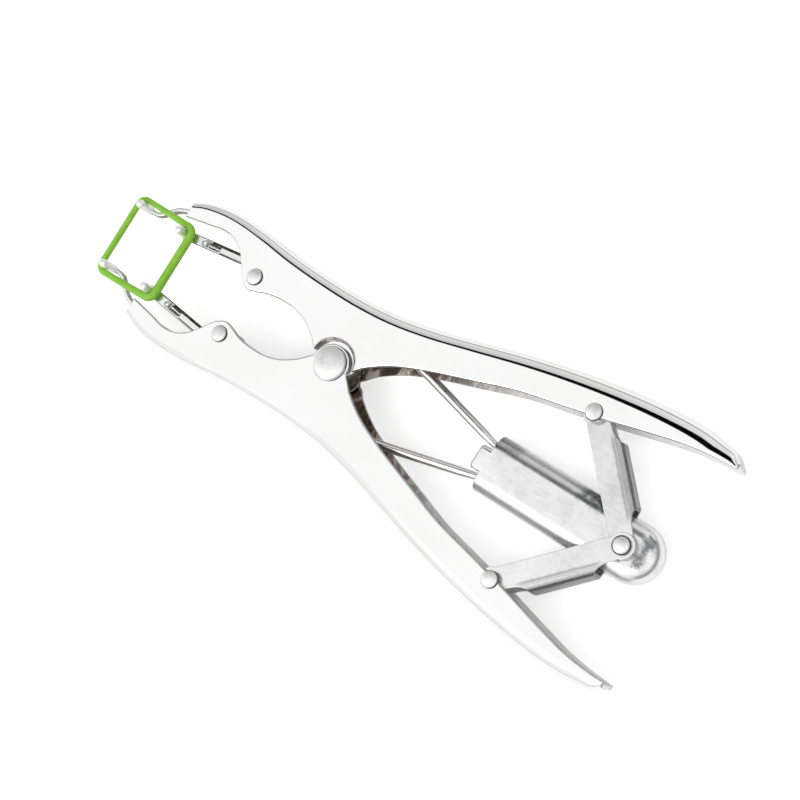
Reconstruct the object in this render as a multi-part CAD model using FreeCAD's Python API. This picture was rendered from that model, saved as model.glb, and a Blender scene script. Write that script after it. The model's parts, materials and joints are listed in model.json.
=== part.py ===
import FreeCAD, Part
import math
import os

V = FreeCAD.Vector

# Everything is in millimetres. The model is built about its own middle plane, X towards the
# jaws, Y to the left and Z towards the prong tips, then lifted so that it rests on z = 0.

# Sheet and channel
SHEET = 1.5
CHANNEL_HALF = 7.5
FRONT_HALF = 3.6
TAPER_START_X = 48.0
FRONT_X = 78.2
BEND_R_JAW = 3.3
BEND_R_GRIP = 5.4
BEND_GROWS_TO_X = -105.0
LAYER_GAP = 0.3

# Fits
RUN_CLEARANCE = 0.05
HEAD_GAP = 0.1
LINK_HOLE_CLEARANCE = 0.8

# Main pivot
PIVOT_SHANK_R = 3.0
PIVOT_HEAD_R = 5.8
PIVOT_HEAD_H = 1.6
FAR_HEAD_H = 1.2
LUG_R = 6.7
LUG_WINDOW_R = 8.0
SLEEVE_R = 4.4

# Guide rivets on the jaw lobes
GUIDE_X = 40.2
GUIDE_Y = 11.2
GUIDE_SHANK_R = 1.6
GUIDE_HEAD_R = 2.8
GUIDE_ROLLER_R = 1.9

# Toggle links and their pivots
TAIL_X = -114.8
LINK_PIVOT_X = -85.2
LINK_PIVOT_Y = 30.8
LINK_SHANK_R = 1.6
LINK_HEAD_R = 2.8
LINK_SHEET = 1.0
LINK_EAR_R = 4.3
LINK_BACK = 6.9
LINK_WEB_END = 11.0
LINK_SIDE_GAP = 0.4
OUTER_LINK_HALF = CHANNEL_HALF - SHEET - LINK_SIDE_GAP
INNER_LINK_HALF = OUTER_LINK_HALF - LINK_SHEET - LAYER_GAP
LINK_BEND_R = 2.9
TAIL_SHANK_R = 1.6
TAIL_HEAD_R = 2.75
TAIL_RING_R = 3.3

# Slide that carries the pull rods
SLIDE_FRONT_X = -61.9
SLIDE_TAIL = 12.7
SLIDE_REAR_X = TAIL_X - SLIDE_TAIL
SLIDE_HALF_WIDTH = 10.0
SLIDE_HALF = INNER_LINK_HALF - LINK_SHEET - LAYER_GAP
SLIDE_SHEET = 1.0
SLIDE_EDGE_R = 5.0
TAB_HALF_WIDTH = 4.4
TAB_REACH = 4.4

# Pull rods and the bars of the moving prongs
ROD_R = 1.2
ROD_Z = 0.2
ROD_EYE_R = 2.3
ANCHOR_R = 1.0
ANCHOR_X = -69.0
ANCHOR_Y = 3.9
HOOK_X = 65.0
HOOK_Y = 12.3
HOOK_R = 0.9
BAR_WIDTH = 3.4
BAR_THICKNESS = 1.4
BAR_REAR_X = 45.5
BAR_REAR_Y = 14.7
BAR_SLOT_WIDTH = 2.0

# Prongs and the stretched ring
PRONG_R = 1.5
PRONG_TIP_Z = 9.3
MOVING_PRONG_X = 73.9
MOVING_PRONG_Y = 11.3
FIXED_PRONG_X = 92.1
FIXED_PRONG_Y = 12.0
CLAW_THICKNESS = 1.6
CLAW_TOP_Z = 1.1
CLAW_LOW_Z = -1.5
RING_WIRE_R = 1.35
RING_Z = 4.5
RING_FIT = 0.05

# Outlines of the left arm, from the front to the grip's end
OUTER_EDGE = [(FRONT_X, 21.9), (FRONT_X - 4.9, 24.4), (66, 26.3), (58, 26.8), (45, 26.0), (33, 24.7), (20, 24.0),
              (4, 23.9), (-10, 25.0), (-24, 27.6), (-38, 31.2), (-58, 36.5), (-75, 40.2), (-92, 43.0),
              (-108, 44.6), (-120, 44.6), (-128, 43.2)]
JAW_EDGE = [(FRONT_X, 17.2), (FRONT_X - 10.9, 18.8), (60, 19.4), (54, 18.2), (50, 15.5), (47, 12.0), (44, 8.2),
            (40.8, 6.5), (37.5, 7.1), (33, 8.7), (27, 9.4), (21, 9.0), (16, 7.4), (11, 4.3)]
GRIP_EDGE = [(-11, 4.6), (-15, 7.4), (-20, 10.3), (-26, 12.9), (-34, 15.8), (-46, 19.7), (-60, 24.2),
             (-75, 27.4), (-90, 30.7), (-105, 34.4), (-116, 36.8), (-125, 37.9), (-133.2, 38.3)]
GRIP_END = (-132.4, 41.2)
SECTION_STATIONS = [-127.5, -120, -108, -92, -75, -58, -38, -24, -10, 4, 20, 32, 40, 45, TAPER_START_X,
                    51, 56, 62, 68, FRONT_X - 4.9]
CLAW_PATH = [(FRONT_X - 11.2, 22.2), (FRONT_X - 5.2, 20.9), (FRONT_X + 0.3, 18.8), (82.6, 16.9), (85.6, 14.1),
             (87.8, 12.4), (FIXED_PRONG_X - 1.3, FIXED_PRONG_Y), (FIXED_PRONG_X + 1.7, FIXED_PRONG_Y)]
ROD_PATH = [(-27, 14.0), (-12, 17.0), (3, 18.0), (18, 17.3), (34, 15.6), (50, 13.9)]

REST_Z = CHANNEL_HALF + FAR_HEAD_H


def spline(points):
    curve = Part.BSplineCurve()
    curve.interpolate([V(x, y, 0) for x, y in points])
    return curve


def offset_points(points, distance, count):
    """Points beside a curve, at a distance to its left as it runs."""
    curve = spline(points)
    first, last = curve.FirstParameter, curve.LastParameter
    out = []
    for i in range(count + 1):
        u = first + (last - first) * i / count
        p = curve.value(u)
        t = curve.tangent(u)[0]
        out.append((p.x - t.y * distance, p.y + t.x * distance))
    return out


def line(a, b):
    return Part.makeLine(V(a[0], a[1], 0), V(b[0], b[1], 0))


def prism(edges, low, high):
    face = Part.Face(Part.Wire(Part.__sortEdges__(edges)))
    solid = face.extrude(V(0, 0, high - low))
    solid.translate(V(0, 0, low))
    return solid


def cylinder(x, y, radius, low, high):
    return Part.makeCylinder(radius, high - low, V(x, y, low), V(0, 0, 1))


def box(x0, x1, y0, y1, z0, z1):
    return Part.makeBox(x1 - x0, y1 - y0, z1 - z0, V(x0, y0, z0))


def round_edges(solid, radius, wanted):
    edges = [e for e in solid.Edges if wanted(e)]
    return solid.makeFillet(radius, edges)


def middle(edge):
    return edge.valueAt((edge.FirstParameter + edge.LastParameter) / 2.0)


def dome(x, y, radius, height, low, up=True):
    """A shallow domed head on a short straight rim."""
    rim = height * 0.35
    rise = height - rim
    ball_r = (radius * radius + rise * rise) / (2 * rise)
    ball = Part.makeSphere(ball_r, V(x, y, low + height - ball_r))
    head = cylinder(x, y, radius, low, low + height + 1).common(ball)
    head = head.common(cylinder(x, y, radius, low, low + height))
    if not up:
        head.rotate(V(x, y, low), V(1, 0, 0), 180)
    return head


def flat_head(x, y, radius, top, height):
    head = cylinder(x, y, radius, top - height, top)
    return round_edges(head, height * 0.45, lambda e: abs(middle(e).z - (top - height)) < 1e-6)


def flip(shape):
    """Turns a left-hand piece over about X, which gives the right-hand one."""
    other = shape.copy()
    other.rotate(V(0, 0, 0), V(1, 0, 0), 180)
    return other


def mirror(shape):
    return shape.mirror(V(0, 0, 0), V(0, 1, 0))


def clean(shape):
    shape = shape.removeSplitter()
    if len(shape.Solids) == 1:
        return shape.Solids[0]
    return shape


# Arms: one stamping, used twice
def half_height(x, inset=0.0):
    share = min(max((x - TAPER_START_X) / (FRONT_X - TAPER_START_X), 0.0), 1.0)
    return CHANNEL_HALF - share * (CHANNEL_HALF - FRONT_HALF) - inset


def bend_radius(x):
    share = min(max((TAPER_START_X - x) / (TAPER_START_X - BEND_GROWS_TO_X), 0.0), 1.0)
    return BEND_R_JAW + share * (BEND_R_GRIP - BEND_R_JAW)


def channel_section(x, outer_y):
    """One slice of the folded sheet, open towards the tool's middle."""
    h = half_height(x)
    t = SHEET
    r = min(bend_radius(x), h - 0.5)
    inner_y = -14.0
    mid = outer_y - r
    bend = r * math.sin(math.radians(45))
    tight = (r - t) * math.sin(math.radians(45))

    def p(y, z):
        return V(x, y, z)
    edges = [Part.makeLine(p(inner_y, h), p(mid, h)),
             Part.Arc(p(mid, h), p(mid + bend, h - r + bend), p(outer_y, h - r)).toShape(),
             Part.makeLine(p(outer_y, h - r), p(outer_y, r - h)),
             Part.Arc(p(outer_y, r - h), p(mid + bend, r - h - bend), p(mid, -h)).toShape(),
             Part.makeLine(p(mid, -h), p(inner_y, -h)),
             Part.makeLine(p(inner_y, -h), p(inner_y, t - h)),
             Part.makeLine(p(inner_y, t - h), p(mid, t - h)),
             Part.Arc(p(mid, t - h), p(mid + tight, r - h - tight), p(outer_y - t, r - h)).toShape(),
             Part.makeLine(p(outer_y - t, r - h), p(outer_y - t, h - r)),
             Part.Arc(p(outer_y - t, h - r), p(mid + tight, h - r + tight), p(mid, h - t)).toShape(),
             Part.makeLine(p(mid, h - t), p(inner_y, h - t)),
             Part.makeLine(p(inner_y, h - t), p(inner_y, h))]
    return Part.Wire(edges)


def edge_y(curve, x):
    """Where a curve that runs from the front to the rear crosses a given X."""
    low, high = curve.FirstParameter, curve.LastParameter
    for _ in range(40):
        mid = (low + high) / 2
        if curve.value(mid).x > x:
            low = mid
        else:
            high = mid
    return curve.value((low + high) / 2).y


def folded_sheet():
    """The channel before its two walls are trimmed to outline."""
    edge = spline(OUTER_EDGE)
    wires = [channel_section(GRIP_EDGE[-1][0] - 2.8, GRIP_EDGE[-1][1] + 3.7)]
    for x in SECTION_STATIONS:
        wires.append(channel_section(x, edge_y(edge, x)))
    wires.append(channel_section(FRONT_X + 1.5, OUTER_EDGE[0][1] - 1.0))
    return Part.makeLoft(wires, True, False)


def plan_block():
    tip = Part.BSplineCurve()
    rear = (OUTER_EDGE[-1][0], OUTER_EDGE[-1][1] + 1.5)
    tip.interpolate([V(rear[0], rear[1], 0), V(GRIP_END[0], GRIP_END[1], 0), V(GRIP_EDGE[-1][0], GRIP_EDGE[-1][1], 0)])
    far = 60.0
    edges = [spline(JAW_EDGE).toShape(), spline(GRIP_EDGE).toShape(), line(JAW_EDGE[-1], GRIP_EDGE[0]),
             tip.toShape(), line(rear, (rear[0], far)), line((rear[0], far), (FRONT_X, far)),
             line((FRONT_X, far), JAW_EDGE[0])]
    return prism(edges, -CHANNEL_HALF - 1, CHANNEL_HALF + 1)


def neck(low, high):
    jaw, grip = JAW_EDGE[-1], GRIP_EDGE[0]
    side = LUG_R - 0.1
    root_y = jaw[1] + 1.7
    points = [V(side, 0, low), V(jaw[0], jaw[1], low), V(jaw[0], root_y, low), V(grip[0], root_y, low),
              V(grip[0], grip[1], low), V(-side, 0, low), V(side, 0, low)]
    plate = Part.Face(Part.makePolygon(points)).extrude(V(0, 0, high - low))
    return plate.fuse(cylinder(0, 0, LUG_R, low, high))


def left_arm():
    block = plan_block()
    arm = folded_sheet().common(block)
    wall_low = CHANNEL_HALF - SHEET
    # The upper wall ends in a lug that lies over the other arm's lowered lug
    arm = arm.fuse(neck(wall_low, CHANNEL_HALF))
    # The lower wall steps inwards by one sheet and a gap
    step = SHEET + LAYER_GAP
    arm = arm.cut(cylinder(0, 0, LUG_WINDOW_R, -CHANNEL_HALF - 1, -wall_low + 0.01))
    collar = cylinder(0, 0, LUG_WINDOW_R + SHEET, -CHANNEL_HALF, -wall_low + step)
    collar = collar.cut(cylinder(0, 0, LUG_WINDOW_R, -CHANNEL_HALF - 1, -CHANNEL_HALF + step))
    collar = collar.common(block)
    low_lug = neck(-CHANNEL_HALF + step, -wall_low + step)
    low_lug = low_lug.common(cylinder(0, 0, LUG_WINDOW_R + SHEET, -CHANNEL_HALF, 0))
    arm = arm.fuse([collar, low_lug])
    holes = [cylinder(0, 0, PIVOT_SHANK_R + RUN_CLEARANCE, -10, 10),
             cylinder(GUIDE_X, GUIDE_Y, GUIDE_SHANK_R, -10, 10),
             cylinder(LINK_PIVOT_X, LINK_PIVOT_Y, LINK_SHANK_R, -10, 10)]
    return clean(arm.cut(Part.makeCompound(holes)))


def through_rivet(x, y, shank_r, head_r, head_h, half, gap=0.0):
    rivet = cylinder(x, y, shank_r, -half - gap - 0.2, half + gap + 0.2)
    rivet = rivet.fuse(dome(x, y, head_r, head_h, half + gap))
    return clean(rivet.fuse(flat_head(x, y, head_r, -half - gap, REST_Z - half - gap)))


def sleeve(x, y, inner_r, outer_r, low, high):
    return cylinder(x, y, outer_r, low, high).cut(cylinder(x, y, inner_r, low - 1, high + 1))


def ribbon(points, thickness, low, high):
    left = offset_points(points, thickness / 2, 24)
    right = offset_points(points, -thickness / 2, 24)
    edges = [spline(left).toShape(), spline(right).toShape(), line(left[0], right[0]), line(left[-1], right[-1])]
    return prism(edges, low, high)


def claw():
    strip = ribbon(CLAW_PATH, CLAW_THICKNESS, CLAW_LOW_Z, CLAW_TOP_Z)
    foot = cylinder(FIXED_PRONG_X, FIXED_PRONG_Y, PRONG_R + 0.5, CLAW_LOW_Z, CLAW_TOP_Z)
    strip = strip.fuse(foot)
    return clean(strip.cut(cylinder(FIXED_PRONG_X, FIXED_PRONG_Y, PRONG_R, CLAW_TOP_Z - 1.5, 10)))


def prong(x, y, low):
    pin = cylinder(x, y, PRONG_R, low, PRONG_TIP_Z)
    return round_edges(pin, PRONG_R * 0.75, lambda e: abs(middle(e).z - PRONG_TIP_Z) < 1e-6)


# Toggle links
def link(half, side):
    dx = LINK_PIVOT_X - TAIL_X
    dy = LINK_PIVOT_Y
    length = math.hypot(dx, dy)
    waist = 2.4
    web_0 = (LINK_WEB_END, LINK_BACK)
    web_1 = (length - LINK_WEB_END, LINK_BACK)
    rise_points = [(waist, LINK_EAR_R - 0.45), (6.2, LINK_EAR_R - 0.3), (8.8, LINK_EAR_R + 0.4), web_0]
    fall_points = [(length - x, y) for x, y in reversed(rise_points)]
    start, end = rise_points[0], fall_points[-1]
    rise, fall = spline(rise_points), spline(fall_points)
    low = -LINK_EAR_R + 0.6
    outline = [rise.toShape(), line(web_0, web_1), fall.toShape(), line(end, (length - waist, low)),
               line((length - waist, low), (waist, low)), line((waist, low), start)]
    body = prism(outline, -half, half)
    body = round_edges(body, LINK_BEND_R, lambda e: abs(abs(middle(e).z) - half) < 1e-6
                       and abs(middle(e).y - LINK_BACK) < 1e-6)
    body = body.fuse([cylinder(0, 0, LINK_EAR_R, -half, half), cylinder(length, 0, LINK_EAR_R, -half, half)])
    inside = box(-20, length + 20, -20, LINK_BACK - LINK_SHEET, -half + LINK_SHEET, half - LINK_SHEET)
    body = body.cut(inside)
    body = body.cut(cylinder(0, 0, TAIL_SHANK_R + RUN_CLEARANCE, -10, 10))
    body = body.cut(cylinder(length, 0, LINK_SHANK_R + LINK_HOLE_CLEARANCE, -10, 10))
    body = clean(body)
    body.rotate(V(0, 0, 0), V(0, 0, 1), math.degrees(math.atan2(dy, dx)))
    body.translate(V(TAIL_X, 0, 0))
    return body if side > 0 else mirror(body)


# Slide
def slide_outline(inset, front):
    half = SLIDE_HALF_WIDTH - inset
    centre = SLIDE_REAR_X + SLIDE_HALF_WIDTH
    rear = Part.Arc(V(centre, half, 0), V(centre - half, 0, 0), V(centre, -half, 0)).toShape()
    return [rear, line((front, half), (centre, half)), line((front, -half), (centre, -half)),
            line((front, half), (front, -half))]


def slide_shell():
    def top_edge(level, front):
        return lambda e: abs(middle(e).z - level) < 1e-6 and middle(e).x < front - 1.0
    outer = prism(slide_outline(0.0, SLIDE_FRONT_X), -SLIDE_HALF, SLIDE_HALF)
    outer = round_edges(outer, SLIDE_EDGE_R, top_edge(SLIDE_HALF, SLIDE_FRONT_X))
    open_end = SLIDE_FRONT_X + 6.0
    inner = prism(slide_outline(SLIDE_SHEET, open_end), -SLIDE_HALF - 5, SLIDE_HALF - SLIDE_SHEET)
    inner = round_edges(inner, SLIDE_EDGE_R - SLIDE_SHEET, top_edge(SLIDE_HALF - SLIDE_SHEET, open_end))
    shell = outer.cut(inner)
    tab_end = SLIDE_FRONT_X + TAB_REACH
    tab = box(SLIDE_FRONT_X - SLIDE_EDGE_R, tab_end, -TAB_HALF_WIDTH, TAB_HALF_WIDTH, -1.2, SLIDE_HALF)
    tab = round_edges(tab, 1.6, lambda e: middle(e).x > tab_end - 1e-6 and middle(e).z > SLIDE_HALF - 1e-6)
    tab = round_edges(tab, 1.5, lambda e: middle(e).x > tab_end - 0.9 and abs(middle(e).y) > TAB_HALF_WIDTH - 0.01
                      and abs(e.tangentAt(e.FirstParameter).z) > 0.99)
    tab = tab.cut(box(SLIDE_FRONT_X - 20, tab_end - SLIDE_SHEET, -20, 20, -5, SLIDE_HALF - SLIDE_SHEET))
    shell = shell.fuse(tab)
    hole = cylinder(TAIL_X, 0, TAIL_SHANK_R, 0, 10)
    return clean(shell.cut(hole))


def tail_rivet():
    top = OUTER_LINK_HALF + HEAD_GAP
    rivet = cylinder(TAIL_X, 0, TAIL_SHANK_R, -top - 0.2, top + 0.4)
    rivet = rivet.fuse(cylinder(TAIL_X, 0, TAIL_RING_R, top, top + 0.35))
    rivet = rivet.fuse(dome(TAIL_X, 0, TAIL_HEAD_R, 1.2, top + 0.3))
    return clean(rivet.fuse(flat_head(TAIL_X, 0, TAIL_RING_R, -top, 1.0)))


def rod_anchor():
    """A headed pin under the slide's roof that the rod's eye turns on."""
    roof = SLIDE_HALF - SLIDE_SHEET
    pin = cylinder(ANCHOR_X, ANCHOR_Y, ANCHOR_R, ROD_Z - ROD_R - 0.5, roof)
    return clean(pin.fuse(cylinder(ANCHOR_X, ANCHOR_Y, ANCHOR_R + 0.9, ROD_Z - ROD_R - 1.1, ROD_Z - ROD_R - 0.3)))


def wire(path_points, radius, z):
    curve = Part.BSplineCurve()
    curve.interpolate([V(x, y, z) for x, y in path_points])
    path = Part.Wire(curve.toShape())
    start = curve.value(curve.FirstParameter)
    tangent = curve.tangent(curve.FirstParameter)[0]
    section = Part.Wire(Part.makeCircle(radius, start, tangent))
    return path.makePipeShell([section], True, False)


def pull_rod():
    slope = (ROD_PATH[0][1] - ANCHOR_Y) / (ROD_PATH[0][0] - ANCHOR_X)
    angle = math.atan(slope)
    start = (ANCHOR_X + (ROD_EYE_R - 0.6) * math.cos(angle), ANCHOR_Y + (ROD_EYE_R - 0.6) * math.sin(angle))
    between = ((start[0] + ROD_PATH[0][0]) / 2, (start[1] + ROD_PATH[0][1]) / 2)
    rod = wire([start, between] + ROD_PATH + [(HOOK_X, HOOK_Y)], ROD_R, ROD_Z)
    eye = cylinder(ANCHOR_X, ANCHOR_Y, ROD_EYE_R, ROD_Z - ROD_R, ROD_Z + ROD_R)
    hook = cylinder(HOOK_X, HOOK_Y, HOOK_R, ROD_Z, ROD_Z + ROD_R + BAR_THICKNESS + 0.4)
    knob = Part.makeSphere(HOOK_R + 0.15, V(HOOK_X, HOOK_Y, ROD_Z + ROD_R + BAR_THICKNESS + 0.5))
    elbow = Part.makeSphere(ROD_R, V(HOOK_X, HOOK_Y, ROD_Z))
    rod = rod.fuse([eye, elbow, hook, knob])
    return clean(rod.cut(cylinder(ANCHOR_X, ANCHOR_Y, ANCHOR_R + RUN_CLEARANCE, -10, 10)))


def prong_bar():
    low = ROD_Z + ROD_R
    high = low + BAR_THICKNESS
    dx, dy = MOVING_PRONG_X - BAR_REAR_X, MOVING_PRONG_Y - BAR_REAR_Y
    length = math.hypot(dx, dy)
    half = BAR_WIDTH / 2
    bar = box(0, length, -half, half, low, high)
    bar = bar.fuse([cylinder(0, 0, half, low, high), cylinder(length, 0, half, low, high)])
    hook_u = math.hypot(HOOK_X - BAR_REAR_X, HOOK_Y - BAR_REAR_Y)
    slot_half = BAR_SLOT_WIDTH / 2
    slot = box(hook_u - 5, hook_u + 0.6, -slot_half, slot_half, low - 1, high + 1)
    slot = slot.fuse([cylinder(hook_u - 5, 0, slot_half, low - 1, high + 1),
                      cylinder(hook_u + 0.6, 0, slot_half, low - 1, high + 1)])
    bar = bar.cut(slot)
    bar.rotate(V(0, 0, 0), V(0, 0, 1), math.degrees(math.atan2(dy, dx)))
    bar.translate(V(BAR_REAR_X, BAR_REAR_Y, 0))
    return clean(bar.cut(cylinder(MOVING_PRONG_X, MOVING_PRONG_Y, PRONG_R, high - 0.8, 10)))


def rubber_ring():
    corners = [V(FIXED_PRONG_X, FIXED_PRONG_Y, RING_Z), V(MOVING_PRONG_X, MOVING_PRONG_Y, RING_Z),
               V(MOVING_PRONG_X, -MOVING_PRONG_Y, RING_Z), V(FIXED_PRONG_X, -FIXED_PRONG_Y, RING_Z)]
    loop = Part.makePolygon(corners + corners[:1])
    path = loop.makeOffset2D(PRONG_R + RING_FIT + RING_WIRE_R)
    edge = path.Edges[0]
    start = edge.valueAt(edge.FirstParameter)
    section = Part.Wire(Part.makeCircle(RING_WIRE_R, start, edge.tangentAt(edge.FirstParameter)))
    return clean(Part.Wire(path.Edges).makePipeShell([section], True, False))


def build():
    wall_in = CHANNEL_HALF - SHEET
    bar_high = ROD_Z + ROD_R + BAR_THICKNESS
    lug_in = wall_in - SHEET - LAYER_GAP
    parts = {}
    parts["main_rivet"] = through_rivet(0, 0, PIVOT_SHANK_R, PIVOT_HEAD_R, PIVOT_HEAD_H, CHANNEL_HALF, HEAD_GAP)
    parts["pivot_sleeve"] = sleeve(0, 0, PIVOT_SHANK_R, SLEEVE_R, -lug_in + HEAD_GAP, lug_in - HEAD_GAP)
    arm = left_arm()
    parts["left_arm"] = arm
    parts["right_arm"] = flip(arm)
    left = {
        "guide_rivet": through_rivet(GUIDE_X, GUIDE_Y, GUIDE_SHANK_R, GUIDE_HEAD_R, 1.3, CHANNEL_HALF),
        "guide_roller": sleeve(GUIDE_X, GUIDE_Y, GUIDE_SHANK_R, GUIDE_ROLLER_R, -wall_in, wall_in),
        "link_rivet": through_rivet(LINK_PIVOT_X, LINK_PIVOT_Y, LINK_SHANK_R, LINK_HEAD_R, 1.4, CHANNEL_HALF),
        "claw": claw(),
        "fixed_prong": prong(FIXED_PRONG_X, FIXED_PRONG_Y, CLAW_TOP_Z - 1.5),
        "rod_anchor": rod_anchor(),
        "pull_rod": pull_rod(),
        "prong_bar": prong_bar(),
        "moving_prong": prong(MOVING_PRONG_X, MOVING_PRONG_Y, bar_high - 0.8),
    }
    for name, shape in left.items():
        parts["left_" + name] = shape
        parts["right_" + name] = mirror(shape)
    parts["left_link"] = link(OUTER_LINK_HALF, 1)
    parts["right_link"] = link(INNER_LINK_HALF, -1)
    parts["slide_shell"] = slide_shell()
    parts["slide_bush"] = sleeve(TAIL_X, 0, TAIL_SHANK_R, 4.5, -SLIDE_HALF + 0.1, SLIDE_HALF - SLIDE_SHEET)
    parts["tail_rivet"] = tail_rivet()
    parts["rubber_ring"] = rubber_ring()
    return parts


def main():
    os.makedirs("parts", exist_ok=True)
    for name, shape in build().items():
        shape.translate(V(0, 0, REST_Z))
        if len(shape.Solids) != 1 or not shape.isValid():
            print("look at", name, len(shape.Solids), shape.isValid())
        shape.exportStep(os.path.join("parts", name + ".step"))


if __name__ == "__main__":
    main()
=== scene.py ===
import json
import math

import bmesh
import bpy
from mathutils import Matrix, Vector


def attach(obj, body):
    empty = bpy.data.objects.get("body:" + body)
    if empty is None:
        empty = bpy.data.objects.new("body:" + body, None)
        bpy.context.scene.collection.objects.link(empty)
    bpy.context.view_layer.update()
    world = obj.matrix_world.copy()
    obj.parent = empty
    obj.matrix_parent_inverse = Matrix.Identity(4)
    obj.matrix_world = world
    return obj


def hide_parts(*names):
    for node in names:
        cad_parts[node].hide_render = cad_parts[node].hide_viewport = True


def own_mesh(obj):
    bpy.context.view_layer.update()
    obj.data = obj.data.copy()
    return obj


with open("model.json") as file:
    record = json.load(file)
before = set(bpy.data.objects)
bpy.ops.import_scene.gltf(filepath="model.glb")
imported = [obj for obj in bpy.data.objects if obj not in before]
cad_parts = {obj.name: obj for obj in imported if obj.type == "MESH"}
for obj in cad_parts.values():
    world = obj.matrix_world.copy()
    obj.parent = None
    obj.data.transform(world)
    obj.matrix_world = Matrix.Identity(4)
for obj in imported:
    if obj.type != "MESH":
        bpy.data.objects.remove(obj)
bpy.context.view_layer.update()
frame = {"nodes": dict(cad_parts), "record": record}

# Everything below is written in millimetres about the tool's middle plane and turned into metres
MM = 0.001
MID_Z = 8.7

SHEET = 1.5
CHANNEL_HALF = 7.5
FRONT_HALF = 3.6
TAPER_START_X = 48.0
FRONT_X = 77.3
BEND_R_JAW = 3.3
BEND_R_GRIP = 5.4
BEND_GROWS_TO_X = -105.0
LAYER_GAP = 0.3
LUG_R = 6.7
LUG_WINDOW_R = 8.0
FIXED = (92.1, 12.0)
MOVING = (73.9, 11.3)
PRONG_R = 1.5
RING_Z = 4.5
TAIL_X = -114.8

OUTER_EDGE = [(78.2, 22.7), (73.3, 24.8), (66, 26.3), (58, 26.8), (45, 26.0), (33, 24.7), (20, 24.0), (4, 23.9),
              (-10, 25.0), (-24, 27.6), (-38, 31.2), (-58, 36.5), (-75, 40.2), (-92, 43.0), (-108, 44.6),
              (-120, 44.6), (-128, 43.2)]
JAW_EDGE = [(78.2, 16.4), (67.3, 18.2), (60, 19.4), (54, 18.2), (50, 15.5), (47, 12.0), (44, 8.2), (40.8, 6.5),
            (37.5, 7.1), (33, 8.7), (27, 9.4), (21, 9.0), (16, 7.4), (11, 4.3)]
GRIP_EDGE = [(-11, 4.6), (-15, 7.4), (-20, 10.3), (-26, 12.9), (-34, 15.8), (-46, 19.7), (-60, 24.2), (-75, 27.4),
             (-90, 30.7), (-105, 34.4), (-116, 36.8), (-125, 37.9), (-133.2, 38.3)]


# Small geometry helpers
def catmull(points, count):
    """A smooth curve through points, sampled evenly in parameter and weighted by chord length."""
    pts = [Vector((p[0], p[1])) for p in points]
    pts = [pts[0] * 2 - pts[1]] + pts + [pts[-1] * 2 - pts[-2]]
    knots = [0.0]
    for a, b in zip(pts, pts[1:]):
        knots.append(knots[-1] + max((b - a).length, 1e-6) ** 0.5)
    out = []
    spans = len(pts) - 3
    per = max(2, count // spans)
    for i in range(1, len(pts) - 2):
        p0, p1, p2, p3 = pts[i - 1:i + 3]
        t0, t1, t2, t3 = knots[i - 1:i + 3]
        for k in range(per):
            t = t1 + (t2 - t1) * k / per
            a1 = p0 * ((t1 - t) / (t1 - t0)) + p1 * ((t - t0) / (t1 - t0))
            a2 = p1 * ((t2 - t) / (t2 - t1)) + p2 * ((t - t1) / (t2 - t1))
            a3 = p2 * ((t3 - t) / (t3 - t2)) + p3 * ((t - t2) / (t3 - t2))
            b1 = a1 * ((t2 - t) / (t2 - t0)) + a2 * ((t - t0) / (t2 - t0))
            b2 = a2 * ((t3 - t) / (t3 - t1)) + a3 * ((t - t1) / (t3 - t1))
            out.append(b1 * ((t2 - t) / (t2 - t1)) + b2 * ((t - t1) / (t2 - t1)))
    out.append(pts[-2])
    return [(p.x, p.y) for p in out]


def lookup(curve, x):
    """The y of a sampled curve at x, for a curve that runs from high x to low x."""
    if x >= curve[0][0]:
        return curve[0][1]
    for (x0, y0), (x1, y1) in zip(curve, curve[1:]):
        if x1 <= x <= x0:
            return y0 if x0 == x1 else y0 + (y1 - y0) * (x0 - x) / (x0 - x1)
    return curve[-1][1]


def smooth(a, b, t):
    """0 at a and 1 at b with a soft step between, for a below or above b."""
    t = min(max((t - a) / (b - a), 0.0), 1.0)
    return t * t * (3 - 2 * t)


def add_mesh(name, verts, faces, body, material, smooth_faces=True):
    mesh = bpy.data.meshes.new(name)
    mesh.from_pydata([(x * MM, y * MM, (z + MID_Z) * MM) for x, y, z in verts], [], faces)
    mesh.validate()
    bm = bmesh.new()
    bm.from_mesh(mesh)
    bmesh.ops.recalc_face_normals(bm, faces=bm.faces)
    bm.to_mesh(mesh)
    bm.free()
    for p in mesh.polygons:
        p.use_smooth = smooth_faces
    obj = bpy.data.objects.new(name, mesh)
    bpy.context.scene.collection.objects.link(obj)
    mesh.materials.append(material)
    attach(obj, body)
    return obj


def bevel(obj, width, segments=2, angle=35):
    m = obj.modifiers.new("bevel", "BEVEL")
    m.width = width * MM
    m.segments = segments
    m.limit_method = "ANGLE"
    m.angle_limit = math.radians(angle)
    m.harden_normals = True
    return m


# Materials
def socket(node, name):
    return node.inputs[name]


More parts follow.
